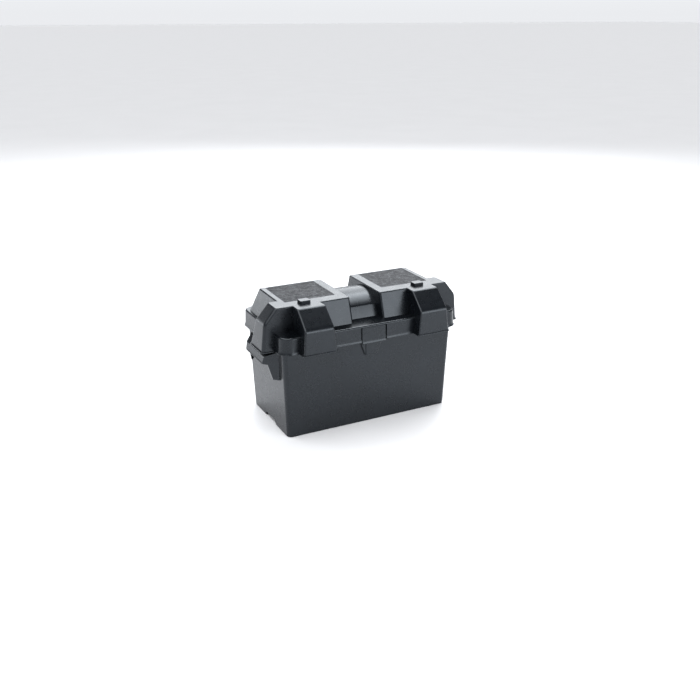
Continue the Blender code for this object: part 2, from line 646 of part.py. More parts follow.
def make_plate_group(name, cell, polarity):
    """Plates of one polarity hanging from their cast strap by one lug each."""
    toward_next = link_side(cell) * (1 if polarity == "positive" else -1)
    y = toward_next * TERMINAL_Y
    half = (POSITIVE_THICKNESS if polarity == "positive" else NEGATIVE_THICKNESS) / 2
    lug_top = STRAP_LOW + 1 * MM
    outline = [(-PLATE_HALF_WIDTH, PLATE_LOW), (PLATE_HALF_WIDTH, PLATE_LOW),
               (PLATE_HALF_WIDTH, PLATE_HIGH), (y + LUG_HALF_WIDTH, PLATE_HIGH),
               (y + LUG_HALF_WIDTH, lug_top), (y - LUG_HALF_WIDTH, lug_top),
               (y - LUG_HALF_WIDTH, PLATE_HIGH), (-PLATE_HALF_WIDTH, PLATE_HIGH)]
    x = cell_x(cell)
    strap = box(name, (x - STRAP_HALF_LENGTH, x + STRAP_HALF_LENGTH),
                (y - STRAP_HALF_WIDTH, y + STRAP_HALF_WIDTH), (STRAP_LOW, STRAP_HIGH), 2 * MM)
    union(strap, [plate("plate", outline, place - half, place + half, 'X')
                  for place in plate_places(cell, polarity)])
    return finish(strap, name, positive_paste if polarity == "positive" else negative_paste)


def make_separator(name, cell):
    """One pleated sheet that passes between every pair of plates in a cell."""
    places = sorted(plate_places(cell, "negative") + plate_places(cell, "positive"))
    gaps = [(a + b) / 2 for a, b in zip(places, places[1:])]
    shift = (NEGATIVE_THICKNESS - POSITIVE_THICKNESS) / 4
    gaps = [gap + (shift if number % 2 == 0 else -shift) for number, gap in enumerate(gaps)]
    half = SEPARATOR_THICKNESS / 2
    near = PLATE_HALF_WIDTH + GAP
    far = near + SEPARATOR_THICKNESS
    one_side = []
    other_side = []
    for number, gap in enumerate(gaps):
        if number % 2 == 0:
            one_side += [(gap - half, -near), (gap - half, far)]
            other_side += [(gap + half, -far), (gap + half, near)]
        else:
            one_side += [(gap + half, far), (gap + half, -near)]
            other_side += [(gap - half, near), (gap - half, -far)]
    one_side[0] = (gaps[0] - half, -far)
    one_side[-1] = (gaps[-1] + half, -far)
    sheet = plate(name, one_side + other_side[::-1], PLATE_LOW - 1 * MM, PLATE_HIGH + 3 * MM, 'Z')
    return finish(sheet, name, separator_plastic)


def make_connector(name, cell):
    """The lead bridge that joins one cell's positive strap to the next cell's negative strap."""
    x = cell_x(cell) + CELL_PITCH / 2
    y = link_side(cell) * TERMINAL_Y
    reach = CELL_PITCH / 2 - 8 * MM
    low = STRAP_HIGH + GAP
    bridge = box(name, (x - reach, x + reach), (y - CONNECTOR_HALF_WIDTH, y + CONNECTOR_HALF_WIDTH),
                 (low, low + CONNECTOR_HEIGHT), 2 * MM)
    return finish(bridge, name, lead)


def set_origin(shape, place):
    """Move a part's origin without moving the part."""
    shape.data.transform(Matrix.Translation(-Vector(place)))
    shape.location = place


# ---- assembly ------------------------------------------------------------------------------
make_case()
make_lid()
hinge_height = TAB_TOP - LID_WALL / 2
hinge_y = skirt_half_width(hinge_height) - LID_WALL / 2
for end, front in (("front", -1), ("rear", 1)):
    set_origin(make_snap_tab(f"{end}_snap_tab", front), (0, front * hinge_y, hinge_height))

make_container()
make_cover()
terminal_kinds = {"left": ("negative", NEGATIVE_POST_RADIUS), "right": ("positive", POSITIVE_POST_RADIUS)}
for hand, side in SIDES.items():
    make_label_plate(f"{hand}_label_plate", side)
    make_vent_cap(f"{hand}_gang_vent_cap", side)
    polarity, post_radius = terminal_kinds[hand]
    make_terminal(f"{polarity}_terminal", side, post_radius)
    make_stud(f"{polarity}_terminal_stud", side)
    make_washer(f"{polarity}_terminal_washer", side)
    nut = make_wing_nut(f"{polarity}_wing_nut", side)
    set_origin(nut, (side * (abs(cell_x(0)) - STUD_SPACING), -TERMINAL_Y, COVER_TOP + TERMINAL_THICKNESS))

for cell in range(CELLS):
    make_plate_group(f"positive_plate_group_{cell + 1}", cell, "positive")
    make_plate_group(f"negative_plate_group_{cell + 1}", cell, "negative")
    make_separator(f"separator_{cell + 1}", cell)
for cell in range(CELLS - 1):
    make_connector(f"cell_connector_{cell + 1}", cell)
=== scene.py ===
"""Looks for the snap-top battery box: moulded shells, battery, studio and camera.

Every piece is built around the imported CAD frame, in metres. The box mirrors left to right.
"""
import json
import math

import bmesh
import bpy
from mathutils import Matrix, Vector


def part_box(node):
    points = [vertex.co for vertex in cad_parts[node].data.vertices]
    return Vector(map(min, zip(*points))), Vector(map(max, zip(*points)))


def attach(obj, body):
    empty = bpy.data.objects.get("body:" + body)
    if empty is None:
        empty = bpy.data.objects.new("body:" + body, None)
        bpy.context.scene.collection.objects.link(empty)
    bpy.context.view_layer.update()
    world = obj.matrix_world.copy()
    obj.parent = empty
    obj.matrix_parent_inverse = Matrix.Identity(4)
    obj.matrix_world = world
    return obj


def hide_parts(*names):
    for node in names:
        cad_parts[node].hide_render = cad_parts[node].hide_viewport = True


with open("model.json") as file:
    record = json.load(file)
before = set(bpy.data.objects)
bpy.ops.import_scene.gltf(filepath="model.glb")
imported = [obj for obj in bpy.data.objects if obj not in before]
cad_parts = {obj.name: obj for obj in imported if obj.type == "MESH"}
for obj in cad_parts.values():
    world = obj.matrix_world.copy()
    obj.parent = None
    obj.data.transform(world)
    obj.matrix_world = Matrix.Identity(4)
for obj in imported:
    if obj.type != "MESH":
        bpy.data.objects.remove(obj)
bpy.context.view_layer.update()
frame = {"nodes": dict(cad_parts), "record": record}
MM = 0.001

# ---- what the frame says -------------------------------------------------------------------
lid_low, lid_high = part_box("lid_shell")
case_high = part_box("case_shell")[1]
label_low, label_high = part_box("right_label_plate")
tab_low, tab_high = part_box("front_snap_tab")

LID_TOP = label_high.z                          # flat tops of the two blocks
LID_WALL = 2.6 * MM
LEDGE = case_high.z + LID_WALL + 0.3 * MM       # flat shelf around the blocks
SKIRT_LOW = LEDGE - 33.0 * MM
SKIRT_HALF_LENGTH = 189.0 * MM
SKIRT_HALF_WIDTH = -tab_low.y - 1.0 * MM
SKIRT_DRAFT = 0.03
SKIRT_CORNER = 22.0 * MM
LIP_OUT = 1.9 * MM                              # rib around the foot of the skirt and hoods
LIP_HEIGHT = 2.4 * MM
LIP_FADE = SKIRT_LOW + 6.0 * MM                 # the skirt's rib flares out from here downwards
BLOCK_FOOT = LEDGE - 9.0 * MM                   # how deep blocks and bridge reach into the skirt
BLOCK_INNER = 32.0 * MM
BLOCK_OUTER = 166.0 * MM
BLOCK_HALF_WIDTH = 66.0 * MM
BLOCK_SLOPE = 1.0 / 3.0
RECESS_INNER = 149.0 * MM                       # the block's front corner is cut away past here
BARREL_RADIUS = 80.0 * MM
BARREL_CREST = LID_TOP - 5.0 * MM
BARREL_CREASE = 54.5 * MM
BARREL_FOOT = 62.0 * MM
FRONT_HOOD_LOW = SKIRT_LOW + 1.0 * MM
FRONT_HOOD_BEND = LEDGE + 16.0 * MM
FRONT_HOOD_INNER = (87.5 * MM, 92.5 * MM, 93.5 * MM)     # x at the foot, the bend and the top
FRONT_HOOD_OUTER = (155.5 * MM, 151.5 * MM, 151.0 * MM)
FRONT_HOOD_OUT = (-lid_low.y - LIP_OUT, 124.0 * MM, 87.5 * MM)
END_HOOD_LOW = lid_low.z
END_HOOD_BEND = LEDGE + 19.0 * MM
END_HOOD_OUT = (lid_high.x - LIP_OUT, 208.5 * MM, 185.0 * MM)
END_HOOD_INNER = BLOCK_OUTER - 20.0 * MM
END_HOOD_FRONT = 66.6 * MM
END_HOOD_BACK = (3.0 * MM, 21.0 * MM, 24.0 * MM)
BOSS_X = (112.5 * MM, 133.5 * MM)
BOSS_Y = (-63.5 * MM, -47.0 * MM)
TOP_ROUND = 2.2 * MM                            # edges around the flat tops
BEND_ROUND = 5.0 * MM                           # where a hood's roof turns down into its front
CUT_BELOW = 12.0 * MM                           # how far the hollow reaches out below the lid
PAST = 5.0 * MM                                 # how far other cutters reach past what they cut
HAIR = 0.05 * MM                                # keeps faces of overlapping solids apart
WELD = 0.002 * MM                               # points closer than this become one
SHARP_ANGLE = math.radians(38)                  # flatter edges are shaded smooth

CASE_FOOT_HALF_LENGTH = 176.5 * MM
CASE_FOOT_HALF_WIDTH = 90.0 * MM
CASE_END_DRAFT = 0.039
CASE_SIDE_DRAFT = 0.017
CASE_CORNER = 9.5 * MM
CASE_WALL = 2.8 * MM
CASE_FLOOR = 3.0 * MM
BEAD_LOW = 178.0 * MM                           # bead around the case, just inside the skirt's foot
BEAD_HIGH = 181.0 * MM
BEAD_OUT = 2.8 * MM
HANDLE_OUT = case_high.x
HANDLE_HALF_WIDTH = 42.0 * MM                   # at the grip; the cheeks spread towards the wall
HANDLE_ROOT_HALF_WIDTH = 68.0 * MM
HANDLE_TOP = 169.0 * MM
HANDLE_SHOULDER = 159.0 * MM
GRIP_LOW = 143.0 * MM
CHEEK_LOW = 114.0 * MM
HANDLE_WALL = 3.4 * MM
CORNER_SHARE = 0.6                              # keeps a wall where the cheeks meet the grip
PAD_HALF_WIDTH = 13.0 * MM                      # pad on the wall under each snap tab
PAD_LOW_FLANK = 1.5 * MM                        # how far its flanks spread, at the foot and the top
PAD_HIGH_FLANK = 10.0 * MM
PAD_LOW = 144.5 * MM
PAD_HIGH = 169.5 * MM
PAD_OUT = case_high.y - 3.8 * MM
CATCH_HALF_WIDTH = 19.0 * MM
CATCH_LOW = 177.0 * MM
CATCH_HIGH = 180.0 * MM

CELLS = 6
CELL_PITCH = 50.0 * MM
TERMINAL_Y = 56.0 * MM
STEM_RADIUS = 7.0 * MM
VENT_RADIUS = 12.0 * MM
CAP_HEIGHT = 9.7 * MM

SIDES = {"left": -1, "right": 1}
ENDS = {"front": -1, "rear": 1}

SHEEN = 0.62                                    # how much light the surfaces mirror
COOL_SHEEN = (0.89, 0.945, 1.0)

# ---- studio and camera ---------------------------------------------------------------------
FAR_FLOOR = (0.70, 0.71, 0.73)                  # the surroundings, from the horizon upwards
HORIZON = (0.78, 0.80, 0.83)
MID_SKY = (0.27, 0.28, 0.30)
ZENITH = (0.14, 0.145, 0.15)
FLOOR_COLOUR = (0.85, 0.85, 0.86)
FLOOR_HALF_SIZE = 60.0
COOL_WHITE = (0.95, 0.975, 1.0)
UPPER_AIM = (0.0, 0.0, 0.25)                    # what the lights face
LOWER_AIM = (0.0, 0.0, 0.2)
CAMERA_PLACE = (-0.7267, -1.4337, 0.7600)       # the photo's view of the box
CAMERA_TURN = math.radians(-26.935)
CAMERA_TILT = math.radians(21.738)
LENS = 43.5
SENSOR_WIDTH = 36.0


# ---- mesh tools ----------------------------------------------------------------------------
def to_object(mesh, name):
    """Turn an edit mesh into an object in the scene."""
    bmesh.ops.recalc_face_normals(mesh, faces=mesh.faces)
    data = bpy.data.meshes.new(name)
    mesh.to_mesh(data)
    mesh.free()
    shape = bpy.data.objects.new(name, data)
    bpy.context.scene.collection.objects.link(shape)
    return shape


def rounded_ring(level, steps):
    """Points around one rounded rectangle, given as (z, x low, x high, y low, y high, corner)."""
    z, x_low, x_high, y_low, y_high, corner = level
    corner = max(corner, 0.2 * MM)
    centres = ((x_high - corner, y_high - corner), (x_low + corner, y_high - corner),
               (x_low + corner, y_low + corner), (x_high - corner, y_low + corner))
    points = []
    for quarter, (centre_x, centre_y) in enumerate(centres):
        for step in range(steps + 1):
            angle = math.pi / 2 * (quarter + step / steps)
            points.append((centre_x + corner * math.cos(angle), centre_y + corner * math.sin(angle), z))
    return points


def loft(name, levels, steps):
    """A closed solid through one rounded rectangle per level."""
    mesh = bmesh.new()
    rings = [[mesh.verts.new(point) for point in rounded_ring(level, steps)] for level in levels]
    for lower, upper in zip(rings, rings[1:]):
        for index in range(len(lower)):
            mesh.faces.new((lower[index - 1], lower[index], upper[index], upper[index - 1]))
    mesh.faces.new(rings[0][::-1])
    mesh.faces.new(rings[-1])
    return to_object(mesh, name)


def between(low_level, high_level, z):
    """The outline part of the way between two levels."""
    share = (z - low_level[0]) / (high_level[0] - low_level[0])
    return [z] + [a + share * (b - a) for a, b in zip(low_level[1:], high_level[1:])]


def inset(level, amount):
    """The same level with its outline shrunk all round."""
    z, x_low, x_high, y_low, y_high, corner = level
    return [z, x_low + amount, x_high - amount, y_low + amount, y_high - amount, corner - amount]


def eased(levels, top=0.0, bottom=0.0, bend=0.0, steps=5):
    """Round a solid's top edge, bottom edge and the bends at its inner levels."""
    soft = []
    if bottom:
        for step in range(steps):
            angle = math.pi / 2 * step / steps
            level = between(levels[0], levels[1], levels[0][0] + bottom * (1 - math.cos(angle)))
            soft.append(inset(level, bottom * (1 - math.sin(angle))))
        soft.append(between(levels[0], levels[1], levels[0][0] + bottom))
    else:
        soft.append(list(levels[0]))
    for below, middle, above in zip(levels, levels[1:], levels[2:]):
        if not bend:
            soft.append(list(middle))
            continue
        start = between(below, middle, middle[0] - bend)
        end = between(middle, above, middle[0] + bend)
        for step in range(steps + 1):
            share = step / steps
            soft.append([(1 - share) ** 2 * a + 2 * share * (1 - share) * b + share ** 2 * c
                         for a, b, c in zip(start, middle, end)])
    if top:
        for step in range(steps + 1):
            angle = math.pi / 2 * step / steps
            level = between(levels[-2], levels[-1], levels[-1][0] - top * (1 - math.sin(angle)))
            soft.append(inset(level, top * (1 - math.cos(angle))))
    else:
        soft.append(list(levels[-1]))
    return soft


def block(name, x, y, z, corner=0.0, top=0.0, bottom=0.0):
    """A box with rounded upright corners and rounded top and bottom edges."""
    x_low, x_high = sorted(x)
    y_low, y_high = sorted(y)
    levels = [(height, x_low, x_high, y_low, y_high, corner) for height in z]
    return loft(name, eased(levels, top, bottom, steps=4), 5)


def slab(name, outline, low, high, axis, edge=0.0):
    """A flat outline given thickness: (x, z) outline along Y, (y, z) along X or (x, y) along Z."""
    curve = bpy.data.curves.new(name, 'CURVE')
    curve.dimensions = '2D'
    curve.fill_mode = 'BOTH'
    curve.extrude = (high - low) / 2 - edge
    curve.bevel_depth = edge
    curve.bevel_resolution = 3
    curve.offset = -edge
    line = curve.splines.new('POLY')
    line.points.add(len(outline) - 1)
    for point, (across, along) in zip(line.points, outline):
        point.co = (across, along, 0.0, 1.0)
    line.use_cyclic_u = True
    flat = bpy.data.objects.new(name, curve)
    bpy.context.scene.collection.objects.link(flat)
    middle = (low + high) / 2
    if axis == 'Y':
        flat.matrix_world = Matrix.Translation((0, middle, 0)) @ Matrix.Rotation(math.pi / 2, 4, 'X')
    elif axis == 'X':
        flat.matrix_world = (Matrix.Translation((middle, 0, 0)) @ Matrix.Rotation(math.pi / 2, 4, 'Z')
                             @ Matrix.Rotation(math.pi / 2, 4, 'X'))
    else:
        flat.matrix_world = Matrix.Translation((0, 0, middle))
    bpy.context.view_layer.update()
    solid = bmesh.new()
    evaluated = flat.evaluated_get(bpy.context.evaluated_depsgraph_get())
    solid.from_mesh(bpy.data.meshes.new_from_object(evaluated))
    bmesh.ops.transform(solid, matrix=flat.matrix_world, verts=solid.verts)
    bmesh.ops.remove_doubles(solid, verts=solid.verts, dist=WELD)
    bmesh.ops.dissolve_limit(solid, angle_limit=math.radians(0.5), verts=solid.verts, edges=solid.edges)
    bpy.data.objects.remove(flat)
    return to_object(solid, name)


def combine(target, tools, operation):
    """Boolean each tool into the target and apply it; the tools are used up."""
    for tool in tools:
        modifier = target.modifiers.new(tool.name, 'BOOLEAN')
        modifier.operation = operation
        modifier.solver = 'EXACT'
        modifier.object = tool
        bpy.context.view_layer.update()
        evaluated = target.evaluated_get(bpy.context.evaluated_depsgraph_get())
        result = bpy.data.meshes.new_from_object(evaluated)
        target.modifiers.clear()
        target.data = result
        tidy = bmesh.new()
        tidy.from_mesh(result)
        bmesh.ops.remove_doubles(tidy, verts=tidy.verts, dist=WELD)
        bmesh.ops.dissolve_degenerate(tidy, edges=tidy.edges, dist=WELD)
        tidy.to_mesh(result)
        tidy.free()
        bpy.data.objects.remove(tool)
    return target


def union(target, tools):
    """Join the tools to the target."""
    return combine(target, tools, 'UNION')


def cut(target, tools):
    """Cut the tools out of the target."""
    return combine(target, tools, 'DIFFERENCE')


def finish(shape, name, body, slot, node):
    """Name a piece, give it its slot's look and smooth rounds, and hang it on its body for a node."""
    shape.name = name
    shape.data.name = name
    shape.data.materials.clear()
    shape.data.materials.append(looks[slot])
    shape.data.shade_smooth()
    shape.data.set_sharp_from_angle(angle=SHARP_ANGLE)
    normals = shape.modifiers.new("weighted_normals", 'WEIGHTED_NORMAL')
    normals.keep_sharp = True
    normals.weight = 80
    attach(shape, body)
    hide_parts(node)


# ---- materials -----------------------------------------------------------------------------
def new_material(name, roughness, metallic=0.0):
    """A Principled material, with its node tree's helpers."""
    made = bpy.data.materials.new(name)
    made.use_nodes = True
    nodes = made.node_tree.nodes
    shader = nodes["Principled BSDF"]
    shader.inputs["Roughness"].default_value = roughness
    shader.inputs["Metallic"].default_value = metallic
    shader.inputs["Specular IOR Level"].default_value = SHEEN
    return made, nodes, made.node_tree.links, shader


def noise_texture(nodes, links, scale, detail, roughness=0.5):
    """Noise in object space, so it is the same size on every piece."""
    place = nodes.new("ShaderNodeTexCoord")
    noise = nodes.new("ShaderNodeTexNoise")
    noise.inputs["Scale"].default_value = scale
    noise.inputs["Detail"].default_value = detail
    noise.inputs["Roughness"].default_value = roughness
    links.new(place.outputs["Object"], noise.inputs["Vector"])
    return noise


def ramp(nodes, links, source, stops):
    """A colour ramp from (place, colour) stops."""
    made = nodes.new("ShaderNodeValToRGB")
    elements = made.color_ramp.elements
    while len(elements) < len(stops):
        elements.new(0.5)
    for element, (place, colour) in zip(elements, stops):
        element.position = place
        element.color = (*colour, 1.0)
    links.new(source, made.inputs["Fac"])
    return made


def spread(nodes, links, source, low, high):
    """Map a 0 to 1 value to low to high."""
    made = nodes.new("ShaderNodeMapRange")
    made.inputs["To Min"].default_value = low
    made.inputs["To Max"].default_value = high
    links.new(source, made.inputs["Value"])
    return made.outputs["Result"]


def add_bump(nodes, links, height, strength, distance):
    """A bump node driven by a height value."""
    bump = nodes.new("ShaderNodeBump")
    bump.inputs["Strength"].default_value = strength
    bump.inputs["Distance"].default_value = distance
    links.new(height, bump.inputs["Height"])
    return bump


def moulded_plastic(name, dark, light, roughness):
    """Moulded plastic: slight clouding in colour and gloss, fine spark-eroded grain, faint waviness."""
    made, nodes, links, shader = new_material(name, roughness)
    shader.inputs["Specular Tint"].default_value = (*COOL_SHEEN, 1.0)
    clouds = noise_texture(nodes, links, 14.0, 4.0)
    colour = ramp(nodes, links, clouds.outputs["Fac"], [(0.3, dark), (0.7, light)])
    links.new(colour.outputs["Color"], shader.inputs["Base Color"])
    flow = noise_texture(nodes, links, 60.0, 6.0, 0.6)
    gloss = spread(nodes, links, flow.outputs["Fac"], roughness - 0.06, roughness + 0.06)
    links.new(gloss, shader.inputs["Roughness"])
    grain = noise_texture(nodes, links, 2600.0, 2.0)
    waves = noise_texture(nodes, links, 22.0, 2.0)
    fine = add_bump(nodes, links, grain.outputs["Fac"], 0.2, 0.03 * MM)
    broad = add_bump(nodes, links, waves.outputs["Fac"], 0.25, 0.25 * MM)
    links.new(fine.outputs["Normal"], broad.inputs["Normal"])
    links.new(broad.outputs["Normal"], shader.inputs["Normal"])
    return made


def grained_label(name):
    """The panels' coarse leather grain: dark valleys between small paler islands, unevenly glossy."""
    made, nodes, links, shader = new_material(name, 0.5)
    shader.inputs["Specular IOR Level"].default_value = 0.3
    islands = nodes.new("ShaderNodeTexVoronoi")
    islands.inputs["Scale"].default_value = 520.0
    place = nodes.new("ShaderNodeTexCoord")
    links.new(place.outputs["Object"], islands.inputs["Vector"])
    wear = noise_texture(nodes, links, 130.0, 5.0, 0.65)
    mixed = nodes.new("ShaderNodeMath")
    mixed.operation = 'MULTIPLY'
    links.new(islands.outputs["Distance"], mixed.inputs[0])
    links.new(wear.outputs["Fac"], mixed.inputs[1])
    colour = ramp(nodes, links, mixed.outputs["Value"],
                  [(0.08, (0.075, 0.079, 0.087)), (0.24, (0.020, 0.021, 0.025)),
                   (0.42, (0.006, 0.006, 0.007))])
    links.new(colour.outputs["Color"], shader.inputs["Base Color"])
    links.new(spread(nodes, links, wear.outputs["Fac"], 0.34, 0.9), shader.inputs["Roughness"])
    bump = add_bump(nodes, links, mixed.outputs["Value"], 0.7, -0.6 * MM)
    links.new(bump.outputs["Normal"], shader.inputs["Normal"])
    return made


def cast_metal(name, dark, light, roughness, metallic, scale):
    """Dull cast or pasted metal: mottled colour with a grainy surface."""
    made, nodes, links, shader = new_material(name, roughness, metallic)
    mottle = noise_texture(nodes, links, scale, 8.0, 0.65)
    colour = ramp(nodes, links, mottle.outputs["Fac"], [(0.3, dark), (0.7, light)])
    links.new(colour.outputs["Color"], shader.inputs["Base Color"])
    gloss = spread(nodes, links, mottle.outputs["Fac"], roughness - 0.12, roughness + 0.12)
    links.new(gloss, shader.inputs["Roughness"])
    bump = add_bump(nodes, links, mottle.outputs["Fac"], 0.4, 0.15 * MM)
    links.new(bump.outputs["Normal"], shader.inputs["Normal"])
    return made


def turned_steel(name):
    """Stainless steel with fine turning lines around Z."""
    made, nodes, links, shader = new_material(name, 0.28, 1.0)
    place = nodes.new("ShaderNodeTexCoord")
    stretch = nodes.new("ShaderNodeMapping")
    stretch.inputs["Scale"].default_value = (0.05, 0.05, 1.0)
    links.new(place.outputs["Object"], stretch.inputs["Vector"])
    lines = nodes.new("ShaderNodeTexNoise")
    lines.inputs["Scale"].default_value = 2500.0
    lines.inputs["Detail"].default_value = 3.0
    links.new(stretch.outputs["Vector"], lines.inputs["Vector"])
    colour = ramp(nodes, links, lines.outputs["Fac"], [(0.3, (0.5, 0.5, 0.51)), (0.7, (0.68, 0.68, 0.69))])
    links.new(colour.outputs["Color"], shader.inputs["Base Color"])
    links.new(spread(nodes, links, lines.outputs["Fac"], 0.2, 0.38), shader.inputs["Roughness"])
    return made


looks = {
    "black_polypropylene": moulded_plastic(
        "black_plastic", (0.003, 0.004, 0.0055), (0.005, 0.0065, 0.009), 0.28),
    "grained_label_plastic": grained_label("grained_label_plastic"),
    "battery_container_plastic": moulded_plastic(
        "container_plastic", (0.014, 0.014, 0.016), (0.022, 0.022, 0.024), 0.4),
    "battery_cover_plastic": moulded_plastic(
        "cover_plastic", (0.024, 0.024, 0.026), (0.035, 0.035, 0.037), 0.42),
    "vent_cap_plastic": moulded_plastic(
        "cap_plastic", (0.42, 0.04, 0.025), (0.52, 0.06, 0.035), 0.4),
    "separator_polyethylene": moulded_plastic(
        "separator_plastic", (0.62, 0.62, 0.58), (0.74, 0.74, 0.70), 0.6),
    "cast_lead": cast_metal(
        "cast_lead", (0.22, 0.23, 0.25), (0.40, 0.41, 0.43), 0.5, 0.9, 160.0),
    "positive_plate_paste": cast_metal(
        "positive_paste", (0.10, 0.04, 0.02), (0.20, 0.09, 0.05), 0.85, 0.0, 240.0),
    "negative_plate_paste": cast_metal(
        "negative_paste", (0.20, 0.21, 0.22), (0.33, 0.34, 0.35), 0.75, 0.2, 240.0),
    "stainless_steel": turned_steel("stainless_steel"),
}


# ---- lid -----------------------------------------------------------------------------------
def skirt_half(z):
    """Half length and half width of the skirt's outside at height z."""
    grown = SKIRT_DRAFT * (LEDGE - z)
    return SKIRT_HALF_LENGTH + grown, SKIRT_HALF_WIDTH + grown


def centred(z, half_x, half_y, corner):
    """A level centred on the box's middle."""
    return (z, -half_x, half_x, -half_y, half_y, corner)


def skirt():
    """The band around the lid's foot, closed by the ledge, with a rib around its lower edge."""
    low_x, low_y = skirt_half(SKIRT_LOW)
    high_x, high_y = skirt_half(LEDGE)
    band = [centred(SKIRT_LOW, low_x, low_y, SKIRT_CORNER), centred(LEDGE, high_x, high_y, SKIRT_CORNER)]
    flare = ((SKIRT_LOW, LIP_OUT), (SKIRT_LOW + LIP_HEIGHT / 2, LIP_OUT), (LIP_FADE, -0.4 * MM))
    rib = [centred(z, low_x + out, low_y + out, SKIRT_CORNER + out) for z, out in flare]
    shape = loft("skirt", eased(band, top=3.2 * MM), 10)
    return union(shape, [loft("rib", eased(rib, bottom=0.5 * MM, bend=0.3 * MM), 10)])


def block_levels(side, x_inner, x_outer, set_back, wall, drop, corner):
    """One part of a block: the wide inner part, or the outer one, whose front is set back."""
    levels = []
    for z in (BLOCK_FOOT, LID_TOP - wall - drop):
        lean = BLOCK_SLOPE * (LID_TOP - z)
        lean_out, lean_front = (lean, 0.0) if set_back else (0.0, lean)
        x_low, x_high = sorted((side * x_inner, side * (x_outer + lean_out)))
        levels.append((z, x_low, x_high, -BLOCK_HALF_WIDTH - lean_front + wall,
                       BLOCK_HALF_WIDTH + lean - wall - drop, corner))
    return levels


def raised_block(side):
    """One block on the ledge, with rounded top edges."""
    corner = 5 * MM
    inner = block_levels(side, BLOCK_INNER, RECESS_INNER + 1 * MM, False, 0.0, 0.0, corner)
    outer = block_levels(side, BLOCK_INNER + 30 * MM, BLOCK_OUTER, True, 0.0, HAIR, corner)
    parts = [loft("block", eased(levels, top=TOP_ROUND), 6) for levels in (inner, outer)]
    return union(parts[0], parts[1:])


def arch_outline(wall, steps):
    """The bridge's cross-section, a wall's thickness inside its surface, with straight sides."""
    radius = BARREL_RADIUS - wall
    centre = BARREL_CREST - BARREL_RADIUS
    half_angle = math.asin((BARREL_CREASE - wall) / radius)
    outline = []
    for step in range(steps + 1):
        angle = half_angle * (1 - 2 * step / steps)
        outline.append((radius * math.sin(angle), centre + radius * math.cos(angle)))
    foot = BARREL_FOOT - wall
    return outline + [(-foot, LEDGE), (-foot, BLOCK_FOOT), (foot, BLOCK_FOOT), (foot, LEDGE)]


def barrel():
    """The half-round bridge between the blocks, with straight sides below a crease."""
    half_length = BLOCK_INNER + 2 * MM
    return slab("barrel", arch_outline(0.0, 28), -half_length, half_length, 'X')


def hood_rib(z, x, y, corner):
    """The rib around a hood's foot."""
    return block("rib", x, y, (z, z + LIP_HEIGHT), corner, 0.8 * MM, 0.6 * MM)


def front_hood(side):
    """A cable hood in front of a block: sloping roof, upright front."""
    levels = []
    heights = (FRONT_HOOD_LOW, FRONT_HOOD_BEND, LID_TOP - HAIR)
    for z, inner, outer, out in zip(heights, FRONT_HOOD_INNER, FRONT_HOOD_OUTER, FRONT_HOOD_OUT):
        x_low, x_high = sorted((side * inner, side * outer))
        levels.append((z, x_low, x_high, -out, -BLOCK_HALF_WIDTH + 8 * MM, 3.2 * MM))
    shape = loft("hood", eased(levels, top=TOP_ROUND, bend=BEND_ROUND), 6)
    rib_x = (side * (FRONT_HOOD_INNER[0] - LIP_OUT), side * (FRONT_HOOD_OUTER[0] + LIP_OUT))
    rib_y = (-FRONT_HOOD_OUT[0] - LIP_OUT, -BLOCK_HALF_WIDTH - 30 * MM)
    rib = hood_rib(FRONT_HOOD_LOW, rib_x, rib_y, 4 * MM)
    return union(shape, [rib])


def end_hood(side):
    """The hood on an end wall, near the front corner."""
    levels = []
    heights = (END_HOOD_LOW, END_HOOD_BEND, LID_TOP - 2 * HAIR)
    for z, out, back in zip(heights, END_HOOD_OUT, END_HOOD_BACK):
        x_low, x_high = sorted((side * END_HOOD_INNER, side * out))
        levels.append((z, x_low, x_high, -END_HOOD_FRONT, -back, 6.5 * MM))
    shape = loft("end_hood", eased(levels, top=TOP_ROUND, bend=BEND_ROUND), 6)
    rib = hood_rib(END_HOOD_LOW, (side * (SKIRT_HALF_LENGTH - 5 * MM), side * (END_HOOD_OUT[0] + LIP_OUT)),
                   (-END_HOOD_FRONT - LIP_OUT, -END_HOOD_BACK[0] + LIP_OUT), 8 * MM)
    return union(shape, [rib])


def block_rooms(side):
    """The space in a block's inner and outer part."""
    wall = LID_WALL
    corner = 3 * MM
    inner = block_levels(side, BLOCK_INNER + wall, RECESS_INNER, False, wall, 0.0, corner)
    outer = block_levels(side, BLOCK_INNER + 31 * MM, BLOCK_OUTER - wall, True, wall, 3 * HAIR, corner)
    return [loft("room", levels, 3) for levels in (inner, outer)]


def hood_room(side, heights, inners, outers, fronts, backs):
    """The space in a hood, from its measures at the foot, the bend and the top."""
    levels = []
    for z, inner, outer, front, back in zip(heights, inners, outers, fronts, backs):
        x_low, x_high = sorted((side * (inner + LID_WALL), side * (outer - LID_WALL)))
        levels.append((z, x_low, x_high, -front + LID_WALL, back, 2 * MM))
    return loft("room", levels, 3)


def room_heights(foot, bend, drop):
    """Heights of a hood room's levels; the drop keeps two rooms' ceilings apart."""
    return [z - drop for z in (foot - CUT_BELOW, bend - LID_WALL / 2, LID_TOP - LID_WALL)]


def hood_rooms(side):
    """The spaces in a front hood and an end hood."""
    front_room = hood_room(side, room_heights(FRONT_HOOD_LOW, FRONT_HOOD_BEND, 4 * HAIR),
                           FRONT_HOOD_INNER, FRONT_HOOD_OUTER, FRONT_HOOD_OUT,
                           [-BLOCK_HALF_WIDTH + 9 * MM] * 3)
    end_room = hood_room(side, room_heights(END_HOOD_LOW, END_HOOD_BEND, 5 * HAIR),
                         [END_HOOD_INNER] * 3, END_HOOD_OUT, [END_HOOD_FRONT] * 3,
                         [-back - LID_WALL for back in END_HOOD_BACK])
    return [front_room, end_room]


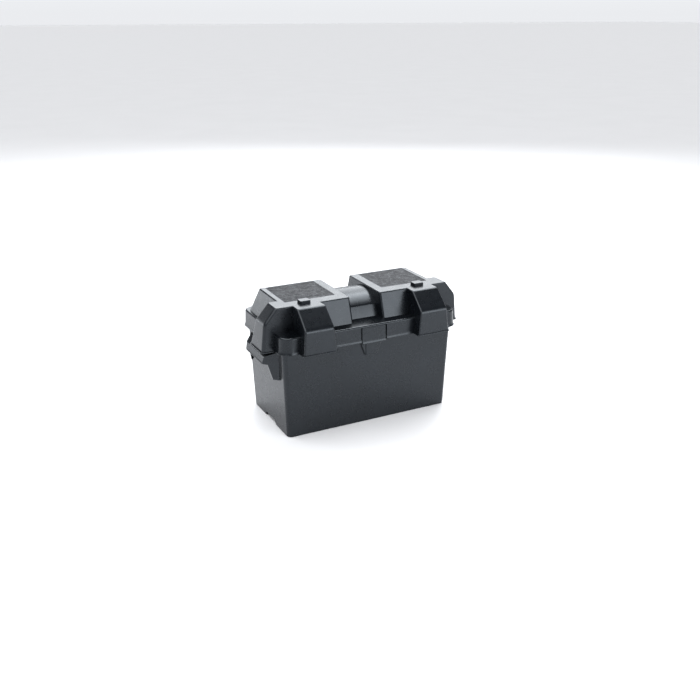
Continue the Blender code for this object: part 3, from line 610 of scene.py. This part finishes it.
def lid_hollow():
    """The space inside the lid, one wall's thickness in from the outside."""
    levels = []
    for z in (SKIRT_LOW - CUT_BELOW, LEDGE - LID_WALL):
        half_x, half_y = skirt_half(z)
        levels.append(centred(z, half_x - LID_WALL, half_y - LID_WALL, SKIRT_CORNER - LID_WALL))
    half_length = BLOCK_INNER + 4 * MM
    pieces = [slab("bore", arch_outline(LID_WALL, 12), -half_length, half_length, 'X')]
    for side in SIDES.values():
        pieces += block_rooms(side) + hood_rooms(side)
    return union(loft("hollow", levels, 6), pieces)


def label_recess(side):
    """Room for a label plate, with a small gap around it."""
    gap = 0.35 * MM
    return block("recess", (side * (label_low.x - gap), side * (label_high.x + gap)),
                 (label_low.y - gap, label_high.y + gap),
                 (label_low.z - 0.3 * MM, LID_TOP + PAST), 3 * MM)


def top_boss(side):
    """The small pad on a block's top, between label and front hood."""
    return block("boss", (side * BOSS_X[0], side * BOSS_X[1]), BOSS_Y,
                 (LID_TOP - 1.5 * MM, lid_high.z), 2 * MM, 1.0 * MM)


def tab_slot(front):
    """The slot in the skirt that a snap tab hangs in."""
    half = tab_high.x + 2.2 * MM
    depth = (front * (SKIRT_HALF_WIDTH - 5 * MM), front * (SKIRT_HALF_WIDTH + 10 * MM))
    return block("tab_slot", (-half, half), depth, (SKIRT_LOW - 8 * MM, tab_high.z + 0.5 * MM),
                 0.6 * MM, 0.6 * MM)


def make_lid():
    """The lid: skirt, bridge, blocks and hoods in one shell, with its openings."""
    lid = skirt()
    union(lid, [barrel()])
    for side in SIDES.values():
        union(lid, [raised_block(side), front_hood(side), end_hood(side)])
    cut(lid, [lid_hollow()])
    cut(lid, [label_recess(side) for side in SIDES.values()] + [tab_slot(front) for front in ENDS.values()])
    union(lid, [top_boss(side) for side in SIDES.values()])
    finish(lid, "lid", "lid", "black_polypropylene", "lid_shell")


def make_snap_tab(end, front):
    """The springy tongue: rounded edges, a finger rib along its foot, a bead inside."""
    half = tab_high.x
    levels = []
    for z in (tab_low.z, tab_high.z):
        outer = skirt_half(z)[1]
        y_low, y_high = sorted((front * outer, front * (outer - LID_WALL)))
        levels.append((z, -half, half, y_low, y_high, 0.5 * MM))
    tab = loft("tab", eased(levels, top=0.4 * MM, bottom=0.6 * MM), 4)
    reach = skirt_half(tab_low.z)[1] - LID_WALL
    bead = block("bead", (-half + 6 * MM, half - 6 * MM),
                 (front * (reach + 1 * MM), front * (reach - 1 * MM)),
                 (tab_low.z, tab_low.z + 3 * MM), 0.5 * MM, 0.5 * MM)
    foot = skirt_half(tab_low.z)[1]
    pull_levels = []
    for rise, out in ((HAIR, LIP_OUT - 0.3 * MM), (1.2 * MM, LIP_OUT - 0.3 * MM), (6.0 * MM, -0.3 * MM)):
        y_low, y_high = sorted((front * (foot - 2 * MM), front * (foot + out)))
        pull_levels.append((tab_low.z + rise, -half + 0.3 * MM, half - 0.3 * MM, y_low, y_high, 0.5 * MM))
    pull = loft("pull", eased(pull_levels, bottom=0.4 * MM, bend=0.3 * MM), 4)
    union(tab, [bead, pull])
    finish(tab, f"{end}_tab_tongue", f"{end}_tab", "black_polypropylene", f"{end}_snap_tab")


def make_label(hand):
    """The grained plate set into the top of a block, with a plain raised frame around it."""
    node = f"{hand}_label_plate"
    low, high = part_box(node)
    plate = block("label", (low.x, high.x), (low.y, high.y), (low.z, high.z - 0.25 * MM), 3 * MM, 0.1 * MM)
    rim = block("rim", (low.x, high.x), (low.y, high.y), (low.z + 0.1 * MM, high.z), 3 * MM, 0.15 * MM)
    inner = block("inner", (low.x + 2 * MM, high.x - 2 * MM), (low.y + 2 * MM, high.y - 2 * MM),
                  (low.z - PAST, high.z + PAST), 2 * MM)
    union(plate, [cut(rim, [inner])])
    finish(plate, f"{hand}_label_panel", "lid", "grained_label_plastic", node)


# ---- case ----------------------------------------------------------------------------------
def case_half(z):
    """Half length and half width of the case's outside at height z."""
    return CASE_FOOT_HALF_LENGTH + CASE_END_DRAFT * z, CASE_FOOT_HALF_WIDTH + CASE_SIDE_DRAFT * z


def case_levels(low, high, grown, corner):
    """The case's tapering outline between two heights, grown by a margin."""
    levels = []
    for z in (low, high):
        half_x, half_y = case_half(z)
        levels.append(centred(z, half_x + grown, half_y + grown, corner))
    return levels


def handle_form(name, side, outline, below, edge, shrink):
    """The handle's form: its outline from above, trimmed by a front outline, shrunk by a wall."""
    wall = case_half(GRIP_LOW)[0]
    root_half = HANDLE_ROOT_HALF_WIDTH - shrink * math.sqrt(2)
    grip_half = HANDLE_HALF_WIDTH - shrink * CORNER_SHARE
    inside = case_half(0)[0] - CASE_WALL / 2
    half_plan = [(inside, root_half), (wall, root_half), (HANDLE_OUT - shrink, grip_half)]
    plan = [(side * x, y) for x, y in half_plan] + [(side * x, -y) for x, y in reversed(half_plan)]
    body = slab(name, plan, below, HANDLE_TOP + PAST, 'Z', edge)
    trim = slab("trim", [(side * x, z) for x, z in outline], -100 * MM, 100 * MM, 'Y', edge)
    return combine(body, [trim], 'INTERSECT')


def end_handle(side):
    """The down-turned grip: sloping top, flaring face with a bottom lip, two cheeks at 45 degrees."""
    inside = case_half(0)[0] - CASE_WALL / 2
    out = HANDLE_OUT
    edge = 0.7 * MM
    wall_x = case_half(HANDLE_TOP)[0]
    profile = [(inside, HANDLE_TOP), (wall_x + 3 * MM, HANDLE_TOP), (out - 5 * MM, HANDLE_SHOULDER),
               (out - 3.4 * MM, HANDLE_SHOULDER - 3 * MM), (out - 1 * MM, GRIP_LOW + 2 * MM),
               (out - 1 * MM, GRIP_LOW), (out - 9 * MM, GRIP_LOW), (out - 16 * MM, CHEEK_LOW),
               (inside, CHEEK_LOW)]
    grip = handle_form("grip", side, profile, CHEEK_LOW - 5 * MM, edge, 0.0)
    room = [(inside, HANDLE_TOP - HANDLE_WALL), (wall_x + 2 * MM, HANDLE_TOP - HANDLE_WALL),
            (out - 5 * MM - HANDLE_WALL / 2, HANDLE_SHOULDER - HANDLE_WALL),
            (out - 1 * MM - HANDLE_WALL, GRIP_LOW), (out - 1 * MM - HANDLE_WALL, CHEEK_LOW - 12 * MM),
            (inside, CHEEK_LOW - 12 * MM)]
    cut(grip, [handle_form("pocket", side, room, CHEEK_LOW - 15 * MM, 0.0, HANDLE_WALL)])
    half = HANDLE_HALF_WIDTH - 1.5 * MM
    lip = block("lip", (side * (out - 1 * MM - HANDLE_WALL), side * case_high.x), (-half, half),
                (GRIP_LOW - HAIR, GRIP_LOW + 2.2 * MM), 0.8 * MM, 0.7 * MM, 0.7 * MM)
    return union(grip, [lip])


def catch(front):
    """Under each snap tab: a pad with spreading flanks, and the ledge for the tab's bead."""
    wall = CASE_FOOT_HALF_WIDTH
    pad = block("pad", (-PAD_HALF_WIDTH, PAD_HALF_WIDTH), (front * wall, front * PAD_OUT),
                (PAD_LOW, PAD_HIGH), 1.4 * MM, 1.2 * MM, 1.6 * MM)
    flank_levels = []
    for z, spread in ((PAD_LOW + 1 * MM, PAD_LOW_FLANK), (PAD_HIGH - 1 * MM, PAD_HIGH_FLANK)):
        half = PAD_HALF_WIDTH + spread
        y_low, y_high = sorted((front * wall, front * (PAD_OUT - 1.6 * MM)))
        flank_levels.append((z, -half, half, y_low, y_high, 2.8 * MM))
    ledge = block("ledge", (-CATCH_HALF_WIDTH, CATCH_HALF_WIDTH), (front * wall, front * case_high.y),
                  (CATCH_LOW, CATCH_HIGH), 1.0 * MM, 0.6 * MM, 0.6 * MM)
    return union(pad, [loft("flanks", flank_levels, 5), ledge])


def foot_notch(side):
    """The notch under an end wall, and the hump in the floor that closes it off inside."""
    half = 28 * MM
    height = 9 * MM
    inner_end = CASE_FOOT_HALF_LENGTH - 13 * MM
    far_out = CASE_FOOT_HALF_LENGTH + 20 * MM
    wide = half + CASE_WALL
    hump = block("hump", (side * (inner_end - CASE_WALL), side * far_out), (-wide, wide),
                 (-PAST, height + CASE_WALL), 1 * MM, 1 * MM)
    arch = [(-half, -PAST), (half, -PAST), (half, 0.0), (half - 6 * MM, height),
            (-half + 6 * MM, height), (-half, 0.0)]
    ends = sorted((side * inner_end, side * far_out))
    return hump, slab("notch", arch, ends[0], ends[1], 'X')


def make_case():
    """The tub: tapered walls, a bead for the lid, handles, catches and foot notches."""
    top = case_high.z
    shell = loft("shell", eased(case_levels(0, top, 0, CASE_CORNER), top=0.8 * MM, bottom=2.2 * MM), 8)
    bead_levels = case_levels(BEAD_LOW, BEAD_HIGH, BEAD_OUT, CASE_CORNER + BEAD_OUT)
    bead = loft("bead", eased(bead_levels, 0.8 * MM, 0.8 * MM), 8)
    union(shell, [bead] + [end_handle(side) for side in SIDES.values()] + [catch(-1), catch(1)])
    hollow = loft("hollow", case_levels(CASE_FLOOR, top + PAST, -CASE_WALL, CASE_CORNER - CASE_WALL), 8)
    humps, notches = zip(*[foot_notch(side) for side in SIDES.values()])
    cut(hollow, humps)
    cut(shell, [hollow, *notches])
    finish(shell, "case", "case_and_battery", "black_polypropylene", "case_shell")


# ---- battery top ---------------------------------------------------------------------------
def upright_cylinder(name, x, y, low, high, radius, top_radius=None):
    """A cylinder, or a cone if its top radius is given."""
    mesh = bmesh.new()
    bmesh.ops.create_cone(mesh, cap_ends=True, segments=48, radius1=radius,
                          radius2=radius if top_radius is None else top_radius, depth=high - low)
    bmesh.ops.translate(mesh, verts=mesh.verts, vec=(x, y, (low + high) / 2))
    return to_object(mesh, name)


def make_cover():
    """The battery's cover: rounded edges, a shallow groove, and holes for vents and terminals."""
    low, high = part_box("battery_cover")
    cover = block("cover", (low.x, high.x), (low.y, high.y), (low.z, high.z), 4 * MM, 2.0 * MM)
    rim = 6 * MM
    inner = rim + 3 * MM
    groove = block("groove", (low.x + rim, high.x - rim), (low.y + rim, high.y - rim),
                   (high.z - 0.8 * MM, high.z + PAST), 5 * MM)
    island = block("island", (low.x + inner, high.x - inner), (low.y + inner, high.y - inner),
                   (high.z - PAST, high.z + 9 * MM), 3 * MM)
    holes = [cut(groove, [island])]
    for cell in range(CELLS):
        x = (cell - (CELLS - 1) / 2) * CELL_PITCH
        holes.append(upright_cylinder("vent", x, 0.0, low.z - PAST, high.z + PAST, VENT_RADIUS))
    for side in SIDES.values():
        holes.append(upright_cylinder("bushing", side * (CELLS - 1) / 2 * CELL_PITCH, -TERMINAL_Y,
                                      low.z - PAST, high.z + PAST, STEM_RADIUS + 0.5 * MM))
    cut(cover, holes)
    finish(cover, "cover", "case_and_battery", "battery_cover_plastic", "battery_cover")


def make_gang_cap(hand, side):
    """A gang cap: a soft-edged bar, with a slotted round boss and a plug at each of its vents."""
    node = f"{hand}_gang_vent_cap"
    low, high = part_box(node)
    bar_low = high.z - CAP_HEIGHT
    bar = block("bar", (low.x, high.x), (low.y, high.y), (bar_low, high.z - 1.6 * MM),
                6 * MM, 1.6 * MM, 0.4 * MM)
    pieces = []
    vents = [side * CELL_PITCH * (number + 0.5) for number in range(CELLS // 2)]
    for x in vents:
        pieces.append(upright_cylinder("boss", x, 0.0, bar_low + 2 * MM, high.z, 15 * MM, 14.4 * MM))
        pieces.append(upright_cylinder("plug", x, 0.0, low.z, bar_low + 1 * MM, VENT_RADIUS - 1.6 * MM,
                                       VENT_RADIUS - 0.6 * MM))
    union(bar, pieces)
    cut(bar, [block("slot", (x - 9 * MM, x + 9 * MM), (-1.5 * MM, 1.5 * MM),
                    (high.z - 1.2 * MM, high.z + 3 * MM), 1.2 * MM) for x in vents])
    finish(bar, f"{hand}_cap_bar", f"{hand}_gang_cap", "vent_cap_plastic", node)


make_lid()
for end, front in ENDS.items():
    make_snap_tab(end, front)
for hand, side in SIDES.items():
    make_label(hand)
    make_gang_cap(hand, side)
make_case()
make_cover()

# ---- the rest keeps its CAD shape and gets better surfaces ------------------------------------
slot_of = {part["node"]: part["material_slot"] for part in frame["record"]["subparts"]}
for node, shape in frame["nodes"].items():
    for place in shape.material_slots:
        place.material = looks[slot_of[node]]


# ---- studio --------------------------------------------------------------------------------
def make_floor():
    """A pale floor with the faintest clouding."""
    mesh = bmesh.new()
    bmesh.ops.create_grid(mesh, x_segments=4, y_segments=4, size=FLOOR_HALF_SIZE)
    floor = to_object(mesh, "floor")
    made, nodes, links, shader = new_material("pale_floor", 0.6)
    clouds = noise_texture(nodes, links, 3.0, 3.0)
    darker = tuple(channel * 0.97 for channel in FLOOR_COLOUR)
    tint = ramp(nodes, links, clouds.outputs["Fac"], [(0.2, FLOOR_COLOUR), (0.8, darker)])
    links.new(tint.outputs["Color"], shader.inputs["Base Color"])
    floor.data.materials.append(made)


def make_world():
    """Pale surroundings, brighter at the horizon than overhead."""
    world = bpy.data.worlds.new("studio")
    world.use_nodes = True
    nodes = world.node_tree.nodes
    links = world.node_tree.links
    place = nodes.new("ShaderNodeTexCoord")
    parts = nodes.new("ShaderNodeSeparateXYZ")
    links.new(place.outputs["Generated"], parts.inputs["Vector"])
    stops = [(0.0, FAR_FLOOR), (0.07, HORIZON), (0.35, MID_SKY), (0.8, ZENITH)]
    shade = ramp(nodes, links, parts.outputs["Z"], stops)
    links.new(shade.outputs["Color"], nodes["Background"].inputs["Color"])
    bpy.context.scene.world = world


def place_object(name, data):
    """Put a light or camera into the scene."""
    holder = bpy.data.objects.new(name, data)
    bpy.context.scene.collection.objects.link(holder)
    return holder


def facing(direction):
    """The turn that points a light or camera along a direction."""
    return Vector(direction).to_track_quat('-Z', 'Y').to_euler()


def make_sun():
    """Even light from above the front left corner, so that the floor stays pale all around."""
    lamp = bpy.data.lights.new("sun", 'SUN')
    lamp.energy = 2.25
    lamp.angle = math.radians(70)
    place_object("sun", lamp).rotation_euler = facing((0.42, 0.28, -0.86))


def softbox(name, place, aim, size, power):
    """A rectangular soft light at place, facing aim, that the camera does not see."""
    lamp = bpy.data.lights.new(name, 'AREA')
    lamp.shape = 'RECTANGLE'
    lamp.size, lamp.size_y = size
    lamp.energy = power
    lamp.color = COOL_WHITE
    holder = place_object(name, lamp)
    holder.location = place
    holder.rotation_euler = facing(Vector(aim) - Vector(place))
    holder.visible_camera = False


def make_softboxes():
    """Lights for the tops, the bridge, the floor at the left, the left end and the front."""
    softbox("back_right", (1.2, 2.0, 2.05), UPPER_AIM, (2.2, 2.8), 60.0)
    softbox("high_right", (0.93, 0.49, 2.07), UPPER_AIM, (1.1, 1.1), 15.0)
    softbox("left_floor", (-0.75, 0.8, 1.7), (-0.6, 0.65, 0.0), (0.8, 0.8), 9.0)
    softbox("left_back", (-1.7, 3.0, 0.22), LOWER_AIM, (2.2, 0.44), 7.0)
    softbox("front_low", (1.05, -2.4, 0.8), LOWER_AIM, (2.0, 1.3), 27.0)


def make_camera():
    """The camera looks down over the front left corner."""
    lens = bpy.data.cameras.new("camera")
    lens.sensor_width = SENSOR_WIDTH
    lens.lens = LENS
    eye = place_object("camera", lens)
    level = math.cos(CAMERA_TILT)
    back = Vector((math.sin(CAMERA_TURN) * level, -math.cos(CAMERA_TURN) * level, math.sin(CAMERA_TILT)))
    right = Vector((math.cos(CAMERA_TURN), math.sin(CAMERA_TURN), 0.0))
    up = back.cross(right)
    axes = Matrix((right, up, back)).transposed().to_4x4()
    eye.matrix_world = Matrix.Translation(CAMERA_PLACE) @ axes
    bpy.context.scene.camera = eye


make_floor()
make_world()
make_sun()
make_softboxes()
make_camera()
bpy.context.scene.view_settings.view_transform = 'Standard'
bpy.context.scene.view_settings.look = 'Medium High Contrast'
